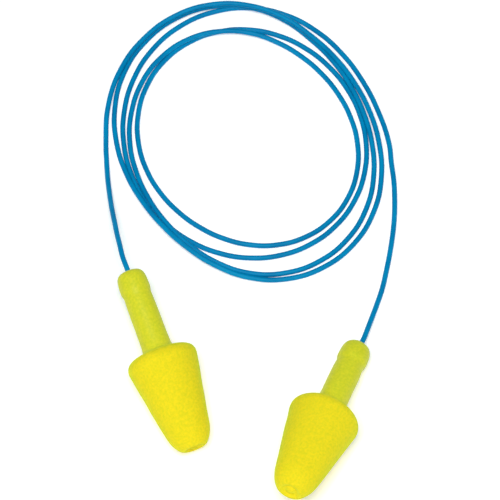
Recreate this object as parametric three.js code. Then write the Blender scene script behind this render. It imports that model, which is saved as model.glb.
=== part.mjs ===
// Foam ear plugs: two push-to-fit plugs joined by one thin cord that lies in a loose coil.
// Each plug is a flared foam tip on a flexible stem: a ribbed plastic core under a foam sleeve.
// Millimetres, +Z up. The pair lies on the plane z = 0, and the origin is on that plane,
// under the middle of the box around the two plugs. +Y runs from the plugs to the coil.
import * as THREE from "three";

// Clearance between pieces that touch on the real object
const GAP = 0.3;

// Foam tip, measured along its axis from the neck, where the stem meets the tip
const TIP_LENGTH = 19.9;
const NECK_FLAT_RADIUS = 3.4;
const SHOULDER = { radius: 5.7, along: 0.35 };
const RIM_CORNER = 0.9;
const RIM_END = 3.0;
const CONE_RADIUS_AT_NECK = 7.25;
const CONE_TAPER = 0.178;
const NOSE_START = 15.2;
const NOSE_FLAT_RADIUS = 1.5;

// Foam sleeve on the stem, with a slightly thicker rounded end where the cord comes out
const STEM_LENGTH = 16.6;
const STEM_RADIUS = 2.8;
const STEM_END_RADIUS = 2.9;
const STEM_END_ROUNDING = 1.5;
const STEM_END_BAND = 3.4;
const STEM_END_BLEND = 5.6;
const SLEEVE_END_WALL = 1.2;

// Flexible core: a rod with barbed ribs inside the tip and a socket that holds the cord
const CORE_RADIUS = 1.3;
const CORE_REACH = 12.0;
const RIB_RADIUS = 1.8;
const RIB_STARTS = [4.0, 6.8, 9.6];
const RIB_RAMP = 1.8;
const SOCKET_DEPTH = 5.0;

// Cord
const CORD_DIAMETER = 1.0;
const CORD_RADIUS = CORD_DIAMETER / 2;
const CORD_BORE_RADIUS = CORD_RADIUS + GAP;
const CORD_SIDES = 8;
const CORD_STEP = 2.5 * CORD_DIAMETER;

// Where each plug lies: its neck in plan, and its heading in degrees from -Y towards +X.
// The left plug lies on the side of its cone, so its stem is raised.
// The right plug lies on its rim and the end of its stem, so its tip is raised.
const LEFT_PLUG = { neck: [-16.1, 7.2], heading: 20.6 };
const RIGHT_PLUG = { neck: [15.8, -4.6], heading: -22.2 };

// The cord's lie from the left stem down to the coil, and from the coil back to the right stem
const LEFT_LEAD = [
  [-22.35, 23.6, 10.15],
  [-23.1, 25.8, 9.95],
  [-23.65, 28.3, 9.4],
  [-24.3, 31.4, 8.2],
  [-24.9, 34.8, 6.6],
  [-25.6, 38.9, 4.5],
  [-26.15, 42.9, 2.6],
  [-26.6, 46.8, 1.35],
  [-26.9, 50.7, 0.7],
  [-27.1, 54.7, 0.55],
];
const RIGHT_LEAD = [
  [28.9, 50.3, 0.55],
  [29.3, 46.5, 0.55],
  [29.4, 42.3, 0.55],
  [29.2, 37.6, 0.55],
  [28.5, 32.2, 0.55],
  [27.6, 27.4, 0.55],
  [26.7, 23.4, 0.55],
  [25.45, 19.5, 0.7],
  [24.35, 16.3, 1.15],
  [23.6, 14.1, 1.6],
  [22.9, 12.1, 2.05],
];

// The coil's outer shape: an oval ring with a flat underside
const COIL_CENTRE = [0.9, 55.9];
const COIL_INNER_RADIUS = 22.7;
const COIL_OUTER_RADIUS = 29.0;
const COIL_HEIGHT = 2.8;
const COIL_OVALNESS = 0.86;
const COIL_LONG_AXIS = 135;
const COIL_STRETCH = 1.08;

const TIP_SEGMENTS = 40;
const STEM_SEGMENTS = 32;
const CORE_SEGMENTS = 20;
const COIL_SEGMENTS = 72;
const CURVE_POINTS = 7;

const tipFoam = new THREE.MeshStandardMaterial({ color: 0xf2de26, roughness: 0.9, metalness: 0 });
const stemFoam = new THREE.MeshStandardMaterial({ color: 0xd6d533, roughness: 0.75, metalness: 0 });
const corePlastic = new THREE.MeshStandardMaterial({ color: 0xe8e6cf, roughness: 0.5, metalness: 0 });
const cordVinyl = new THREE.MeshStandardMaterial({ color: 0x0a86bf, roughness: 0.35, metalness: 0 });

const radians = THREE.MathUtils.degToRad;

function named(name, geometry, material) {
  const mesh = new THREE.Mesh(geometry, material);
  mesh.name = name;
  return mesh;
}

// Radius of the tip's straight cone at a distance from the neck
function coneRadius(along) {
  return CONE_RADIUS_AT_NECK - CONE_TAPER * along;
}

// Half outline of the core's ribbed end, grown by a clearance.
// Each rib has a step on its stem side, so the foam can't slide off.
function ribbedOutline(grow) {
  const points = [];
  for (const start of RIB_STARTS) {
    points.push(new THREE.Vector2(CORE_RADIUS + grow, start - grow));
    points.push(new THREE.Vector2(RIB_RADIUS + grow, start - grow));
    points.push(new THREE.Vector2(CORE_RADIUS + grow, start + RIB_RAMP));
  }
  points.push(new THREE.Vector2(CORE_RADIUS + grow, CORE_REACH + grow));
  points.push(new THREE.Vector2(0, CORE_REACH + grow));
  return points;
}

// Flared foam tip, from the bottom of its bore round the outside to the middle of its nose
function makeTip() {
  const bore = ribbedOutline(GAP).reverse();
  const outside = new THREE.Path();
  outside.moveTo(CORE_RADIUS + GAP, 0);
  outside.lineTo(NECK_FLAT_RADIUS, 0);
  outside.quadraticCurveTo(NECK_FLAT_RADIUS + 1, 0.1, SHOULDER.radius, SHOULDER.along);
  outside.quadraticCurveTo(coneRadius(RIM_CORNER), RIM_CORNER, coneRadius(RIM_END), RIM_END);
  outside.lineTo(coneRadius(NOSE_START), NOSE_START);
  outside.quadraticCurveTo(coneRadius(TIP_LENGTH), TIP_LENGTH, NOSE_FLAT_RADIUS, TIP_LENGTH);
  outside.lineTo(0, TIP_LENGTH);
  return new THREE.LatheGeometry([...bore, ...outside.getPoints(CURVE_POINTS)], TIP_SEGMENTS);
}

// Foam sleeve: a tube with an end wall that the cord passes through
function makeSleeve() {
  const end = -STEM_LENGTH;
  const outline = new THREE.Path();
  outline.moveTo(CORD_BORE_RADIUS, end);
  outline.lineTo(STEM_END_RADIUS - STEM_END_ROUNDING, end);
  outline.quadraticCurveTo(STEM_END_RADIUS, end, STEM_END_RADIUS, end + STEM_END_ROUNDING);
  outline.lineTo(STEM_END_RADIUS, end + STEM_END_BAND);
  outline.lineTo(STEM_RADIUS, end + STEM_END_BLEND);
  outline.lineTo(STEM_RADIUS, -GAP);
  outline.lineTo(CORE_RADIUS + GAP, -GAP);
  outline.lineTo(CORE_RADIUS + GAP, end + SLEEVE_END_WALL);
  outline.lineTo(CORD_BORE_RADIUS, end + SLEEVE_END_WALL);
  outline.lineTo(CORD_BORE_RADIUS, end);
  return new THREE.LatheGeometry(outline.getPoints(CURVE_POINTS), STEM_SEGMENTS);
}

// Flexible core, one piece: a socketed rod along the stem and a ribbed end along the tip
function makeCore() {
  const end = -STEM_LENGTH + SLEEVE_END_WALL + GAP;
  const outline = [
    new THREE.Vector2(0, end + SOCKET_DEPTH),
    new THREE.Vector2(CORD_BORE_RADIUS, end + SOCKET_DEPTH),
    new THREE.Vector2(CORD_BORE_RADIUS, end),
    new THREE.Vector2(CORE_RADIUS, end),
    ...ribbedOutline(0),
  ];
  return new THREE.LatheGeometry(outline, CORE_SEGMENTS);
}

// One plug, made along +Y, turned to its heading and pitch and lowered until it rests on z = 0
function makePlug(side, lie, pitch) {
  const plug = new THREE.Group();
  plug.add(named(side + "_foam_tip", makeTip(), tipFoam));
  plug.add(named(side + "_stem_sleeve", makeSleeve(), stemFoam));
  plug.add(named(side + "_stem_core", makeCore(), corePlastic));
  const heading = radians(lie.heading);
  const x = Math.sin(heading) * Math.cos(pitch);
  const y = -Math.cos(heading) * Math.cos(pitch);
  const direction = new THREE.Vector3(x, y, Math.sin(pitch));
  plug.quaternion.setFromUnitVectors(new THREE.Vector3(0, 1, 0), direction);
  plug.position.set(lie.neck[0], lie.neck[1], 0);
  plug.position.z = -new THREE.Box3().setFromObject(plug, true).min.z;
  return plug;
}

// Points of the cord in a plug, from the bottom of its socket to just outside the stem
function cordInPlug(plug) {
  const wall = -STEM_LENGTH + SLEEVE_END_WALL;
  const stops = [wall + SOCKET_DEPTH, wall, -STEM_LENGTH - CORD_DIAMETER];
  return stops.map((along) =>
    new THREE.Vector3(0, along, 0).applyQuaternion(plug.quaternion).add(plug.position),
  );
}

// Plain tube along a curve through the points
function makeLead(points) {
  const curve = new THREE.CatmullRomCurve3(points);
  const corners = [];
  for (let i = 0; i < CORD_SIDES; i++) {
    const angle = (2 * Math.PI * i) / CORD_SIDES;
    corners.push(new THREE.Vector2(CORD_RADIUS * Math.cos(angle), CORD_RADIUS * Math.sin(angle)));
  }
  const steps = Math.round(curve.getLength() / CORD_STEP);
  const settings = { steps, extrudePath: curve, bevelEnabled: false };
  return new THREE.ExtrudeGeometry(new THREE.Shape(corners), settings);
}

// Oval ring with a flat underside and a rounded top, made round +Y and stood up on +Z
function makeCoil() {
  const middle = (COIL_INNER_RADIUS + COIL_OUTER_RADIUS) / 2;
  const halfWidth = (COIL_OUTER_RADIUS - COIL_INNER_RADIUS) / 2;
  const outline = new THREE.Path();
  outline.moveTo(COIL_INNER_RADIUS, 0);
  outline.lineTo(COIL_OUTER_RADIUS, 0);
  outline.absellipse(middle, 0, halfWidth, COIL_HEIGHT, 0, Math.PI);
  const ring = new THREE.LatheGeometry(outline.getPoints(CURVE_POINTS), COIL_SEGMENTS);
  ring.rotateX(Math.PI / 2).scale(1, COIL_OVALNESS, 1);
  ring.rotateZ(radians(COIL_LONG_AXIS)).scale(1, COIL_STRETCH, 1);
  return ring.translate(COIL_CENTRE[0], COIL_CENTRE[1], 0);
}

// Pitch of a plug that lies on the side of its cone
const coneLie = -Math.atan(CONE_TAPER);

// Pitch of a plug that lies on the middle of its rim and the edge of its stem's end
const rimAlong = (RIM_CORNER + RIM_END) / 2;
const stemEdgeAlong = STEM_LENGTH - STEM_END_ROUNDING;
const rimLie = Math.atan((coneRadius(rimAlong) - STEM_END_RADIUS) / (rimAlong + stemEdgeAlong));

const leftPlug = makePlug("left", LEFT_PLUG, coneLie);
const rightPlug = makePlug("right", RIGHT_PLUG, rimLie);

const toVector = (point) => new THREE.Vector3(...point);
const leftRoute = [...cordInPlug(leftPlug), ...LEFT_LEAD.map(toVector)];
const rightRoute = [...RIGHT_LEAD.map(toVector), ...cordInPlug(rightPlug).reverse()];

const earPlugs = new THREE.Group();
earPlugs.add(leftPlug, rightPlug);
earPlugs.add(named("cord_left_lead", makeLead(leftRoute), cordVinyl));
earPlugs.add(named("cord_coil", makeCoil(), cordVinyl));
earPlugs.add(named("cord_right_lead", makeLead(rightRoute), cordVinyl));

export default earPlugs;
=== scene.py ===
"""Looks for the foam ear plugs: foam tips, skinned stems, ribbed cores and one coiled cord.

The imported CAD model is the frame, in metres, and so are the camera, the lamp and the floor.
Outlines and the cord's places are in millimetres, and MM turns them into metres.
"""

import math

import bpy
from mathutils import Euler, Matrix, Vector, noise


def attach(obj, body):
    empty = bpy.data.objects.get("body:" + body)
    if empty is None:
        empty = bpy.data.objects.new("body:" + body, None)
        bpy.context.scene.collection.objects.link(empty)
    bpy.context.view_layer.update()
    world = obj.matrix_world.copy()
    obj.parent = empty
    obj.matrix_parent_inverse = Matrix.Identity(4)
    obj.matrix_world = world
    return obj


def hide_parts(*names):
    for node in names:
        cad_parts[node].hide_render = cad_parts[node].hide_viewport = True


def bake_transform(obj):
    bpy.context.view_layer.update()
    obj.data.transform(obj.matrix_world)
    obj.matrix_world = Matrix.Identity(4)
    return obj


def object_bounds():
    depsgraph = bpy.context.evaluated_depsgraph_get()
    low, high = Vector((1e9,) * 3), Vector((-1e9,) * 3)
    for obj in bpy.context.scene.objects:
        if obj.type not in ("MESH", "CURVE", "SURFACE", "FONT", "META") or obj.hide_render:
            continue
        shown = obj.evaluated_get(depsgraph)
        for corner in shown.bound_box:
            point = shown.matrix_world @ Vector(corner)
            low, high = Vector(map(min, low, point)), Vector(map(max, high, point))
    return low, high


MM = 0.001
FULL_TURN = 2 * math.pi

# Foam tip: its bore, with a row of points just inside the mouth, and its outside as
# (radius, distance from the neck), from the neck to the nose
TIP_BORE_RADIUS = 2.1
TIP_BORE_DEPTH = 12.3
TIP_BORE_EDGE = 0.4
TIP_OUTLINE = [
    (2.4, 0.0),
    (3.6, 0.05),
    (4.8, 0.2),
    (5.7, 0.48),
    (6.35, 0.95),
    (6.72, 1.6),
    (6.82, 2.3),
    (6.71, 3.1),
    (6.1, 6.5),
    (5.49, 9.9),
    (4.89, 13.3),
    (4.55, 15.2),
    (4.2, 16.8),
    (3.65, 18.2),
    (2.95, 19.25),
    (2.5, 19.65),
    (2.05, 19.8),
    (1.65, 19.66),
    (1.3, 19.42),
    (1.0, 19.4),
    (0.65, 19.68),
    (0.3, 19.8),
]
TIP_LUMP = 0.07 * MM
TIP_LUMP_SIZE = 3.6 * MM

# Foam sleeve: its bore and end wall, and its outside as (radius, distance from the neck),
# from the lip of the cord's hole to where it meets the tip
STEM_LENGTH = 16.6
SLEEVE_BORE_RADIUS = 1.6
SLEEVE_WALL = 1.2
SLEEVE_HOLE_RADIUS = 0.52
SLEEVE_HOLE_ROUNDING = 0.2
SLEEVE_OUTLINE = [
    (0.6, -16.25),
    (0.85, -16.5),
    (1.2, -16.6),
    (1.85, -16.5),
    (2.4, -16.1),
    (2.74, -15.4),
    (2.88, -14.4),
    (2.93, -13.2),
    (2.9, -12.6),
    (2.74, -12.0),
    (2.69, -11.4),
    (2.75, -10.4),
    (2.8, -8.5),
    (2.8, -5.5),
    (2.82, -3.0),
    (2.88, -1.4),
    (3.05, -0.5),
    (3.5, 0.1),
]
SLEEVE_LUMP = 0.035 * MM
SLEEVE_LUMP_SIZE = 2.5 * MM

# Flexible core
CORE_RADIUS = 1.3
CORE_REACH = 12.0
CORE_STEM_END = -15.1
RIB_RADIUS = 1.8
RIB_STARTS = (4.0, 6.8, 9.6)
RIB_RAMP = 1.8
SOCKET_DEPTH = 5.0
SOCKET_RADIUS = 0.6

# How finely the turned pieces are drawn: steps between outline points, rows along a straight
# stretch, and segments round the axis
OUTLINE_STEPS = 5
STRAIGHT_ROWS = 24
TIP_SEGMENTS = 96
SLEEVE_SEGMENTS = 72
CORE_SEGMENTS = 40

# Cord, in millimetres. The leads are the cord's lie
# from the left stem down to the coil, and from the coil back to the right stem.
CORD_DIAMETER = 1.0
CORD_RADIUS = CORD_DIAMETER / 2
CORD_IN_PLUG = (-12.0, -14.0)
LEFT_LEAD = [
    (-22.35, 23.6, 10.15),
    (-23.1, 25.8, 9.95),
    (-23.65, 28.3, 9.4),
    (-24.3, 31.4, 8.2),
    (-24.9, 34.8, 6.6),
    (-25.6, 38.9, 4.5),
    (-26.15, 42.9, 2.6),
    (-26.6, 46.8, 1.35),
    (-26.9, 50.7, 0.7),
]
RIGHT_LEAD = [
    (28.9, 50.3, 0.55),
    (29.3, 46.5, 0.55),
    (29.4, 42.3, 0.55),
    (29.2, 37.6, 0.55),
    (28.5, 32.2, 0.55),
    (27.6, 27.4, 0.55),
    (26.7, 23.4, 0.55),
    (25.45, 19.5, 0.7),
    (24.35, 16.3, 1.15),
    (23.6, 14.1, 1.6),
    (22.9, 12.1, 2.05),
]

# The coil's turns run clockwise from the left, the topmost turn first. REACHES says how far
# from the coil's centre each turn passes at its left, top, right and bottom, and the last row
# is the half turn. LEANS says how far the oval bulges to the upper left and the lower right,
# with one value where each turn starts. The reaches just before and after the coil set how the
# cord runs in and out.
COIL_TURNS = 4.5
COIL_CENTRE = (1.2, 54.7)
COIL_STRETCH = 1.08
REACH_BEFORE = 35.0
REACHES = [
    (28.3, 27.5, 25.3, 27.0),
    (26.2, 27.6, 23.9, 26.0),
    (23.6, 22.4, 21.1, 20.4),
    (21.9, 23.4, 22.8, 23.0),
    (24.8, 28.0, 27.3),
]
REACH_AFTER = 39.0
LEANS = (2.2, 2.5, 1.8, 1.3, 0.7, 2.2)
STEPS_PER_TURN = 96
STEPS_PER_POINT = 4
LIE_HEIGHT = 0.52
HUMP_CURVATURE = 0.02
HUMP_WINDOW = STEPS_PER_TURN // 6
SETTLE_PASSES = 4

# Foam: patches of colour, slow swells under the grain of cells, and light that soaks in
TIP_YELLOWS = [(0.78, 0.65, 0.013), (0.96, 0.73, 0.017)]
STEM_YELLOWS = [(0.62, 0.62, 0.022), (0.77, 0.7, 0.028)]
MOTTLE_SIZE = 0.45 * MM
SWELL_SIZE = 2.2 * MM
SWELL_DEPTH = 0.05 * MM
FUZZ_ROUGHNESS = 0.5
FUZZ_TINT = (0.2, 0.68, 0.1)
SOAK_SHARE = 0.25
SOAK_DEPTH = 0.6 * MM
SOAK_SPREAD = (1.0, 0.8, 0.15)

# Core and cord: smooth plastics with a faint cloudiness
CORE_CREAMS = [(0.72, 0.7, 0.56), (0.82, 0.8, 0.66)]
CORE_ROUGHNESS = 0.45
CORE_CLOUD_SIZE = 1.5 * MM
CORE_GRAIN_SIZE = 0.4 * MM
CORD_BLUES = [(0.0, 0.2, 0.44), (0.0, 0.25, 0.51)]
CORD_ROUGHNESS = 0.42
CORD_GLOSS = 0.06
CORD_CLOUD_SIZE = 4 * MM
CORD_GRAIN_SIZE = 0.5 * MM
PLASTIC_GRAIN_DEPTH = 0.01 * MM

# Camera: it looks down steeply from the plugs' side, from a good way off
CAMERA_TILT = math.radians(25)
CAMERA_DISTANCE = 0.7
CAMERA_AIM = (1.2 * MM, 31.8 * MM, 0)
CAMERA_LENS = 260
CAMERA_CLIP_START = 0.01

# Sky: a pale band up to one height and the open sky from another, with a blend between them.
# Heights run from 0 at the horizon to 1 overhead.
HORIZON_COLOUR = (0.92, 0.95, 0.96)
HORIZON_TOP = 0.05
SKY_COLOUR = (0.09, 0.21, 0.24)
SKY_BOTTOM = 0.12

# Floor: how white it is, its two glows, and how far from the origin each of them holds
FLOOR_WHITE = 0.93
FLOOR_ROUGHNESS = 0.9
FLOOR_HALF_WIDTH = 1.5
FLOOR_GAP = 0.02 * MM
NEAR_GLOW = (0.27, 0.24, 0.24)
NEAR_GLOW_REACH = 0.15
FAR_GLOW = (0.75, 0.72, 0.7)
FAR_GLOW_START = 0.6

# Key light: a large soft lamp high above the plugs
KEY_PLACE = (-0.03, -0.2, 0.72)
KEY_SIZE = 0.3
KEY_ENERGY = 5.15
KEY_COLOUR = (1.0, 0.97, 0.93)

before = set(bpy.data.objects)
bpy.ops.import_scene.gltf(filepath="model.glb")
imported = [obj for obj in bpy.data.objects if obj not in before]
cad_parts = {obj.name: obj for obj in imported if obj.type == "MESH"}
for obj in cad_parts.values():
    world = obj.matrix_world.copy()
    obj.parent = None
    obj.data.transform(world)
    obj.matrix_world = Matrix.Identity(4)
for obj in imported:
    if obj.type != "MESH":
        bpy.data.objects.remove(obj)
cad_low, cad_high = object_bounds()


def catmull_rom(values, position):
    """The smooth curve through evenly spaced values, which may be numbers or vectors."""
    i = min(int(position), len(values) - 2)
    t = position - i
    before = values[max(i - 1, 0)]
    a, b = values[i], values[i + 1]
    after = values[min(i + 2, len(values) - 1)]
    bend = 2 * before - 5 * a + 4 * b - after
    return a + 0.5 * t * ((b - before) + t * (bend + t * (3 * (a - b) + after - before)))


def smoothed(points, steps):
    """The points with a smooth curve between them, in the given number of steps each."""
    values = [Vector(p) for p in points]
    count = (len(values) - 1) * steps
    return [catmull_rom(values, i / steps) for i in range(count)] + [values[-1]]


# ---------------------------------------------------------------- places in the frame


def area_centre(node):
    """Middle of a CAD node's surface. On a turned piece it lies on the axis."""
    total, area = Vector(), 0
    for face in node.data.polygons:
        total += face.center * face.area
        area += face.area
    return total / area


def plug_place(side):
    """Matrix from a plug's own space to the frame: +Z out of the nose, 0 at the neck."""
    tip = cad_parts[side + "_foam_tip"]
    centre = area_centre(tip)
    axis = (centre - area_centre(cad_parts[side + "_stem_sleeve"])).normalized()
    neck = centre + axis * min(axis.dot(v.co - centre) for v in tip.data.vertices)
    across = axis.cross(Vector((0, 0, 1))).normalized()
    up = across.cross(axis)
    turn = Matrix((across, up, axis)).transposed().to_4x4()
    return Matrix.Translation(neck) @ turn


places = {side: plug_place(side) for side in ("left", "right")}


def on_axis(side, along):
    """Point on a plug's axis, at a distance from its neck in millimetres."""
    return places[side] @ Vector((0, 0, along * MM))


# ---------------------------------------------------------------- materials


def new_material(name, roughness):
    """A material with its shader and the object's own coordinates, in metres."""
    material = bpy.data.materials.new(name)
    material.use_nodes = True
    shader = material.node_tree.nodes["Principled BSDF"]
    shader.inputs["Roughness"].default_value = roughness
    coordinates = material.node_tree.nodes.new("ShaderNodeTexCoord")
    return material, shader, coordinates.outputs["Object"]


def noise_texture(material, coordinates, size, detail):
    """Cloudy values from 0 to 1, with patches of about the given size."""
    texture = material.node_tree.nodes.new("ShaderNodeTexNoise")
    texture.inputs["Scale"].default_value = 1 / size
    texture.inputs["Detail"].default_value = detail
    material.node_tree.links.new(coordinates, texture.inputs["Vector"])
    return texture.outputs["Fac"]


def ramp(material, value, stops):
    """Colour from a value, through (position, colour) stops."""
    node = material.node_tree.nodes.new("ShaderNodeValToRGB")
    elements = node.color_ramp.elements
    while len(elements) < len(stops):
        elements.new(0.5)
    for element, (position, colour) in zip(elements, stops):
        element.position = position
        element.color = (*colour, 1)
    material.node_tree.links.new(value, node.inputs["Fac"])
    return node.outputs["Color"]


def bump(material, height, depth, below=None):
    """Relief of the given depth, on top of the relief below it."""
    node = material.node_tree.nodes.new("ShaderNodeBump")
    node.inputs["Distance"].default_value = depth
    material.node_tree.links.new(height, node.inputs["Height"])
    if below is not None:
        material.node_tree.links.new(below, node.inputs["Normal"])
    return node.outputs["Normal"]


def foam(name, colours, roughness, gloss, fuzz, cell_size, cell_depth):
    """Fine-celled foam: mottled colour, soft scattering and a grain of small cells."""
    material, shader, coordinates = new_material(name, roughness)
    links = material.node_tree.links
    mottle = noise_texture(material, coordinates, MOTTLE_SIZE, detail=4)
    colour = ramp(material, mottle, [(0.3, colours[0]), (0.7, colours[1])])
    links.new(colour, shader.inputs["Base Color"])
    cells = noise_texture(material, coordinates, cell_size, detail=3)
    swells = noise_texture(material, coordinates, SWELL_SIZE, detail=2)
    relief = bump(material, swells, SWELL_DEPTH)
    relief = bump(material, cells, cell_depth, relief)
    links.new(relief, shader.inputs["Normal"])
    shader.inputs["Specular IOR Level"].default_value = gloss
    shader.inputs["Sheen Weight"].default_value = fuzz
    shader.inputs["Sheen Roughness"].default_value = FUZZ_ROUGHNESS
    shader.inputs["Sheen Tint"].default_value = (*FUZZ_TINT, 1)
    shader.inputs["Subsurface Weight"].default_value = SOAK_SHARE
    shader.inputs["Subsurface Radius"].default_value = SOAK_SPREAD
    shader.inputs["Subsurface Scale"].default_value = SOAK_DEPTH
    return material


def core_plastic():
    """Cream plastic, slightly cloudy."""
    material, shader, coordinates = new_material("core_plastic", CORE_ROUGHNESS)
    cloud = noise_texture(material, coordinates, CORE_CLOUD_SIZE, detail=3)
    colour = ramp(material, cloud, [(0.3, CORE_CREAMS[0]), (0.7, CORE_CREAMS[1])])
    material.node_tree.links.new(colour, shader.inputs["Base Color"])
    grain = noise_texture(material, coordinates, CORE_GRAIN_SIZE, detail=2)
    relief = bump(material, grain, PLASTIC_GRAIN_DEPTH)
    material.node_tree.links.new(relief, shader.inputs["Normal"])
    return material


def cord_vinyl():
    """Satin blue vinyl that reflects very little."""
    material, shader, coordinates = new_material("cord_vinyl", CORD_ROUGHNESS)
    cloud = noise_texture(material, coordinates, CORD_CLOUD_SIZE, detail=3)
    colour = ramp(material, cloud, [(0.35, CORD_BLUES[0]), (0.65, CORD_BLUES[1])])
    material.node_tree.links.new(colour, shader.inputs["Base Color"])
    grain = noise_texture(material, coordinates, CORD_GRAIN_SIZE, detail=2)
    relief = bump(material, grain, PLASTIC_GRAIN_DEPTH)
    material.node_tree.links.new(relief, shader.inputs["Normal"])
    shader.inputs["Specular IOR Level"].default_value = CORD_GLOSS
    return material


tip_foam = foam(
    "tip_foam",
    TIP_YELLOWS,
    roughness=0.85,
    gloss=0.05,
    fuzz=0.42,
    cell_size=0.25 * MM,
    cell_depth=0.03 * MM,
)
stem_foam = foam(
    "stem_foam",
    STEM_YELLOWS,
    roughness=0.42,
    gloss=0.12,
    fuzz=0.1,
    cell_size=0.3 * MM,
    cell_depth=0.02 * MM,
)
core_material = core_plastic()
cord_material = cord_vinyl()


# ---------------------------------------------------------------- turned pieces


def turned(name, side, outline, segments, material, lump=0, lump_size=1):
    """Closed piece turned round a plug's axis from (radius, along) points in millimetres.

    The outline runs from axis to axis, or closes on itself when neither end is on the axis.
    lump is how far the surface swells and sinks, and lump_size how broadly.
    """
    points = [(radius * MM, along * MM) for radius, along in outline]
    verts, rings = [], []
    for radius, along in points:
        count = segments if radius > 0 else 1
        rings.append(range(len(verts), len(verts) + count))
        for i in range(count):
            angle = FULL_TURN * i / segments
            point = Vector((radius * math.cos(angle), radius * math.sin(angle), along))
            outward = Vector((math.cos(angle), math.sin(angle), 0))
            if lump and count > 1:
                seed = Vector((0, 0, 1 if side == "left" else 2))
                point += outward * lump * noise.noise(point / lump_size + seed)
            verts.append(point)
    pairs = list(zip(rings, rings[1:]))
    if points[0][0] > 0:
        pairs.append((rings[-1], rings[0]))
    faces = []
    for a, b in pairs:
        for i in range(segments):
            j = (i + 1) % segments
            corners = [a[i % len(a)], a[j % len(a)], b[j % len(b)], b[i % len(b)]]
            faces.append(list(dict.fromkeys(corners)))
    mesh = bpy.data.meshes.new(name)
    mesh.from_pydata(verts, [], faces)
    mesh.shade_smooth()
    mesh.materials.append(material)
    piece = bpy.data.objects.new(name, mesh)
    bpy.context.scene.collection.objects.link(piece)
    piece.matrix_world = places[side]
    return piece


def make_tip(side):
    """Flared foam tip, from the bottom of its bore round the outside to its nose."""
    bore = [(0, TIP_BORE_DEPTH)]
    for along in (TIP_BORE_DEPTH, TIP_BORE_EDGE, 0):
        bore.append((TIP_BORE_RADIUS, along))
    outside = [tuple(p) for p in smoothed(TIP_OUTLINE, OUTLINE_STEPS)]
    outline = bore + outside + [(0, TIP_OUTLINE[-1][1])]
    tip = turned(
        side + "_tip", side, outline, TIP_SEGMENTS, tip_foam, TIP_LUMP, TIP_LUMP_SIZE
    )
    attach(tip, side + "_tip")
    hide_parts(side + "_foam_tip")


def bend_with_tip(piece):
    """Bake the piece's place in the frame into its mesh, leaving it an identity transform."""
    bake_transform(piece)


def make_sleeve(side):
    """Foam sleeve: its outside, its bore and the hole in its end that the cord passes."""
    outside = [tuple(p) for p in smoothed(SLEEVE_OUTLINE, OUTLINE_STEPS)]
    inner_end = SLEEVE_WALL - STEM_LENGTH
    bore = []
    for i in range(STRAIGHT_ROWS + 1):
        bore.append((SLEEVE_BORE_RADIUS, inner_end * i / STRAIGHT_ROWS))
    hole_lip = SLEEVE_OUTLINE[0][1] + SLEEVE_HOLE_ROUNDING
    hole = [(SLEEVE_HOLE_RADIUS, inner_end), (SLEEVE_HOLE_RADIUS, hole_lip)]
    outline = outside + bore + hole
    sleeve = turned(
        side + "_sleeve",
        side,
        outline,
        SLEEVE_SEGMENTS,
        stem_foam,
        SLEEVE_LUMP,
        SLEEVE_LUMP_SIZE,
    )
    bend_with_tip(sleeve)
    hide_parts(side + "_stem_sleeve")


def make_core(side):
    """Flexible core: a socket for the cord, a plain rod and barbed ribs inside the tip."""
    outline = [
        (0, CORE_STEM_END + SOCKET_DEPTH),
        (SOCKET_RADIUS, CORE_STEM_END + SOCKET_DEPTH),
        (SOCKET_RADIUS, CORE_STEM_END),
    ]
    rod_length = RIB_STARTS[0] - CORE_STEM_END
    for i in range(STRAIGHT_ROWS):
        outline.append((CORE_RADIUS, CORE_STEM_END + rod_length * i / STRAIGHT_ROWS))
    for start in RIB_STARTS:
        outline.append((CORE_RADIUS, start))
        outline.append((RIB_RADIUS, start))
        outline.append((CORE_RADIUS, start + RIB_RAMP))
    outline.append((CORE_RADIUS, CORE_REACH))
    outline.append((0, CORE_REACH))
    core = turned(side + "_core", side, outline, CORE_SEGMENTS, core_material)
    bend_with_tip(core)
    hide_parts(side + "_stem_core")


# ---------------------------------------------------------------- cord


def raised_over_later_turns(radii, heights, i):
    """Height at a step where the cord clears every later turn that lies under it."""
    height = heights[i]
    for j in range(i + STEPS_PER_TURN, len(radii), STEPS_PER_TURN):
        apart = abs(radii[i] - radii[j])
        if apart < CORD_DIAMETER:
            climb = math.sqrt(CORD_DIAMETER**2 - apart**2)
            height = max(height, heights[j] + climb)
    return height


def coil_heights(radii):
    """Heights of the coil's steps: later turns lie lower, and humps are long and low."""
    spacing = FULL_TURN * sum(radii) / len(radii) / STEPS_PER_TURN
    heights = [LIE_HEIGHT] * len(radii)
    for _ in range(SETTLE_PASSES):
        for i in reversed(range(len(radii))):
            heights[i] = raised_over_later_turns(radii, heights, i)
        eased = []
        for i in range(len(radii)):
            near = range(max(i - HUMP_WINDOW, 0), min(i + HUMP_WINDOW + 1, len(radii)))
            eased.append(
                max(heights[j] - HUMP_CURVATURE * ((i - j) * spacing) ** 2 for j in near)
            )
        heights = eased
    return heights


def coil_radius(turn):
    """How far the cord lies from the coil's centre, after a number of turns."""
    reaches = [REACH_BEFORE]
    for row in REACHES:
        reaches += row
    reaches.append(REACH_AFTER)
    bulge = catmull_rom(LEANS, turn) * math.sin(2 * FULL_TURN * turn)
    return catmull_rom(reaches, 1 + 4 * turn) + bulge


def coil_points():
    """The coil's points in the frame, from the left lead to the right one."""
    count = int(COIL_TURNS * STEPS_PER_TURN) + 1
    radii = [coil_radius(i / STEPS_PER_TURN) for i in range(count)]
    heights = coil_heights(radii)
    points = []
    for i in range(0, count, STEPS_PER_POINT):
        angle = FULL_TURN * i / STEPS_PER_TURN
        x = COIL_CENTRE[0] - radii[i] * math.cos(angle)
        y = COIL_CENTRE[1] + radii[i] * math.sin(angle) * COIL_STRETCH
        points.append(Vector((x, y, heights[i])) * MM)
    return points


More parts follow.
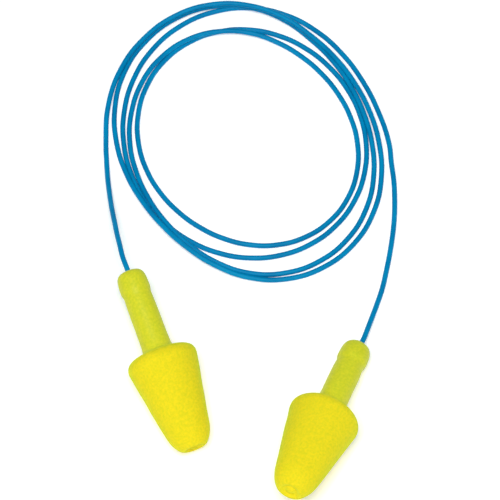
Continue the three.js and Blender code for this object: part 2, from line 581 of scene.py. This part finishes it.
def make_cord():
    """One tube from inside the left stem, round the coil, to inside the right stem."""
    points = [on_axis("left", along) for along in CORD_IN_PLUG]
    points += [Vector(p) * MM for p in LEFT_LEAD]
    points += coil_points()
    points += [Vector(p) * MM for p in RIGHT_LEAD]
    points += [on_axis("right", along) for along in reversed(CORD_IN_PLUG)]
    curve = bpy.data.curves.new("cord", "CURVE")
    curve.dimensions = "3D"
    curve.bevel_depth = CORD_RADIUS * MM
    curve.bevel_resolution = 5
    curve.resolution_u = 6
    curve.use_fill_caps = True
    spline = curve.splines.new("BEZIER")
    spline.bezier_points.add(len(points) - 1)
    for knot, point in zip(spline.bezier_points, points):
        knot.co = point
        knot.handle_left_type = "AUTO"
        knot.handle_right_type = "AUTO"
    curve.materials.append(cord_material)
    cord = bpy.data.objects.new("cord", curve)
    bpy.context.scene.collection.objects.link(cord)
    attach(cord, "cord_and_stems")
    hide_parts("cord_left_lead", "cord_coil", "cord_right_lead")


# ---------------------------------------------------------------- stage


def make_floor():
    """A white floor that glows faintly near the plugs and more strongly far from them."""
    material, shader, coordinates = new_material("floor", FLOOR_ROUGHNESS)
    nodes, links = material.node_tree.nodes, material.node_tree.links
    shader.inputs["Base Color"].default_value = (FLOOR_WHITE, FLOOR_WHITE, FLOOR_WHITE, 1)
    distance = nodes.new("ShaderNodeVectorMath")
    distance.operation = "LENGTH"
    links.new(coordinates, distance.inputs[0])
    stops = [(NEAR_GLOW_REACH, NEAR_GLOW), (FAR_GLOW_START, FAR_GLOW)]
    glow = ramp(material, distance.outputs["Value"], stops)
    links.new(glow, shader.inputs["Emission Color"])
    shader.inputs["Emission Strength"].default_value = 1
    half = FLOOR_HALF_WIDTH
    mesh = bpy.data.meshes.new("floor")
    corners = [(-half, -half, 0), (half, -half, 0), (half, half, 0), (-half, half, 0)]
    mesh.from_pydata(corners, [], [(0, 1, 2, 3)])
    mesh.materials.append(material)
    floor = bpy.data.objects.new("floor", mesh)
    floor.location.z = cad_low.z - FLOOR_GAP
    bpy.context.scene.collection.objects.link(floor)


def make_key_light():
    """One soft lamp that points at the middle of the part."""
    light = bpy.data.lights.new("key", "AREA")
    light.size = KEY_SIZE
    light.energy = KEY_ENERGY
    light.color = KEY_COLOUR
    lamp = bpy.data.objects.new("key", light)
    lamp.location = KEY_PLACE
    away = Vector(KEY_PLACE) - (cad_low + cad_high) / 2
    lamp.rotation_euler = away.to_track_quat("Z", "Y").to_euler()
    bpy.context.scene.collection.objects.link(lamp)


def make_world():
    """A dim, slightly cool sky with a pale band along the horizon."""
    world = bpy.data.worlds.new("studio")
    world.use_nodes = True
    nodes, links = world.node_tree.nodes, world.node_tree.links
    direction = nodes.new("ShaderNodeTexCoord")
    parts = nodes.new("ShaderNodeSeparateXYZ")
    links.new(direction.outputs["Generated"], parts.inputs["Vector"])
    stops = [(HORIZON_TOP, HORIZON_COLOUR), (SKY_BOTTOM, SKY_COLOUR)]
    sky = ramp(world, parts.outputs["Z"], stops)
    links.new(sky, nodes["Background"].inputs["Color"])
    bpy.context.scene.world = world


def make_camera():
    """A steep view down on the whole part, through a long lens."""
    camera = bpy.data.cameras.new("camera")
    camera.lens = CAMERA_LENS
    camera.clip_start = CAMERA_CLIP_START
    view = bpy.data.objects.new("camera", camera)
    back = Euler((CAMERA_TILT, 0, 0)).to_matrix() @ Vector((0, 0, CAMERA_DISTANCE))
    view.location = Vector(CAMERA_AIM) + back
    view.rotation_euler = (CAMERA_TILT, 0, 0)
    bpy.context.scene.collection.objects.link(view)
    bpy.context.scene.camera = view


for side in ("left", "right"):
    make_tip(side)
    make_sleeve(side)
    make_core(side)
make_cord()

make_floor()
make_world()
make_key_light()
make_camera()
bpy.context.scene.view_settings.view_transform = "Standard"
